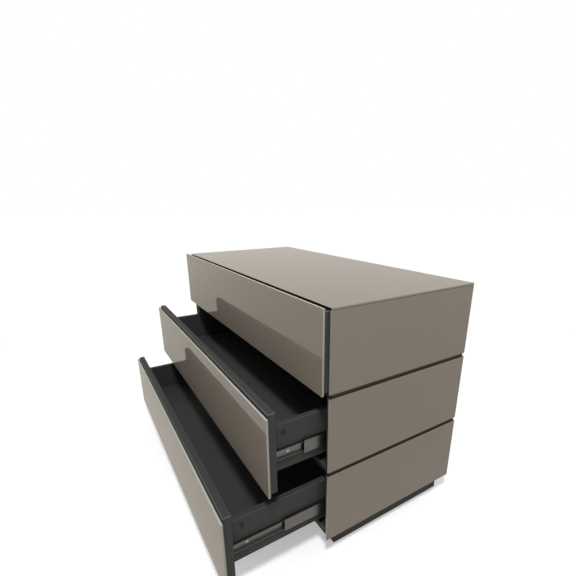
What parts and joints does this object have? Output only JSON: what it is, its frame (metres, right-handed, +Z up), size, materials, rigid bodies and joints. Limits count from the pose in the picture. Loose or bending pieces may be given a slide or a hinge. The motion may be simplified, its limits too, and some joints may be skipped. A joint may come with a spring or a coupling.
{
  "type": "chest of drawers",
  "caption": "Low handle-less chest of drawers clad in back-painted gloss glass, with a dark carcass, touch-release drawers on side runners and a recessed plinth.",
  "frame": {"origin": "on the floor under the middle of the carcass, at the foot of the middle glide", "axes": "+X to the right along the front, +Y to the back, +Z up"},
  "size_m": [1.1, 0.8025, 0.742],
  "materials": {
    "taupe_glass": "clear float glass painted taupe on the back, high gloss, with ground edges",
    "anthracite_board": "anthracite melamine laminate with a fine matt texture",
    "drawer_board": "anthracite melamine laminate, matt",
    "drawer_floor": "grey melamine laminate, matt",
    "back_sheet": "anthracite painted fibreboard, matt",
    "carrier_sheet": "dark powder coat",
    "runner_steel": "dark zinc-plated rolled steel",
    "fitting_zinc": "bare zinc casting and zinc-plated steel",
    "fitting_black": "black-plated zinc casting and steel",
    "screw_steel": "zinc-plated steel",
    "glide_plastic": "black moulded plastic",
    "release_plastic": "grey moulded plastic"
  },
  "bodies": {
    "carcass": {"back_sheet": "back_sheet", "back_sheet_screws": "screw_steel", "bottom_panel": "anthracite_board", "cabinet_rail_screws": "screw_steel", "carcass_cam_fittings": "fitting_zinc", "divider_rail_1": "anthracite_board", "divider_rail_2": "anthracite_board", "floor_glides": "glide_plastic", "left_side_glass_1": "taupe_glass", "left_side_glass_2": "taupe_glass", "left_side_glass_3": "taupe_glass", "left_side_panel": "anthracite_board", "plinth_back": "anthracite_board", "plinth_centre": "anthracite_board", "plinth_front": "anthracite_board", "plinth_left": "anthracite_board", "plinth_right": "anthracite_board", "right_side_glass_1": "taupe_glass", "right_side_glass_2": "taupe_glass", "right_side_glass_3": "taupe_glass", "right_side_panel": "anthracite_board", "runner_1_cabinet_rails": "runner_steel", "runner_2_cabinet_rails": "runner_steel", "runner_3_cabinet_rails": "runner_steel", "top_glass": "taupe_glass", "top_panel": "anthracite_board", "touch_release_units": "release_plastic"},
    "drawer_1": {"drawer_1_back": "drawer_board", "drawer_1_cam_fittings": "fitting_black", "drawer_1_floor": "drawer_floor", "drawer_1_front_board": "anthracite_board", "drawer_1_front_carrier": "carrier_sheet", "drawer_1_front_glass": "taupe_glass", "drawer_1_left_side": "drawer_board", "drawer_1_rail_screws": "screw_steel", "drawer_1_right_side": "drawer_board", "drawer_1_runner_rails": "runner_steel"},
    "runner_middle_1": {"runner_1_middle_rails": "runner_steel"},
    "drawer_2": {"drawer_2_back": "drawer_board", "drawer_2_cam_fittings": "fitting_black", "drawer_2_floor": "drawer_floor", "drawer_2_front_board": "anthracite_board", "drawer_2_front_carrier": "carrier_sheet", "drawer_2_front_glass": "taupe_glass", "drawer_2_left_side": "drawer_board", "drawer_2_rail_screws": "screw_steel", "drawer_2_right_side": "drawer_board", "drawer_2_runner_rails": "runner_steel"},
    "runner_middle_2": {"runner_2_middle_rails": "runner_steel"},
    "drawer_3": {"drawer_3_back": "drawer_board", "drawer_3_cam_fittings": "fitting_black", "drawer_3_floor": "drawer_floor", "drawer_3_front_board": "anthracite_board", "drawer_3_front_carrier": "carrier_sheet", "drawer_3_front_glass": "taupe_glass", "drawer_3_left_side": "drawer_board", "drawer_3_rail_screws": "screw_steel", "drawer_3_right_side": "drawer_board", "drawer_3_runner_rails": "runner_steel"},
    "runner_middle_3": {"runner_3_middle_rails": "runner_steel"}
  },
  "joints": [
    {"name": "drawer_1_slide", "type": "slide", "parent": "carcass", "child": "drawer_1", "axis": [0, -1, 0], "range_m": [-0.002, 0.4]},
    {"name": "runner_1_slide", "type": "slide", "parent": "carcass", "child": "runner_middle_1", "axis": [0, -1, 0], "range_m": [-0.001, 0.2]},
    {"name": "drawer_2_slide", "type": "slide", "parent": "carcass", "child": "drawer_2", "axis": [0, -1, 0], "range_m": [-0.151, 0.251]},
    {"name": "runner_2_slide", "type": "slide", "parent": "carcass", "child": "runner_middle_2", "axis": [0, -1, 0], "range_m": [-0.0755, 0.1255]},
    {"name": "drawer_3_slide", "type": "slide", "parent": "carcass", "child": "drawer_3", "axis": [0, -1, 0], "range_m": [-0.272, 0.13]},
    {"name": "runner_3_slide", "type": "slide", "parent": "carcass", "child": "runner_middle_3", "axis": [0, -1, 0], "range_m": [-0.136, 0.065]}
  ],
  "couplings": [
    {"joint": "runner_1_slide", "follows": "drawer_1_slide", "ratio": 0.5},
    {"joint": "runner_2_slide", "follows": "drawer_2_slide", "ratio": 0.5},
    {"joint": "runner_3_slide", "follows": "drawer_3_slide", "ratio": 0.5}
  ]
}
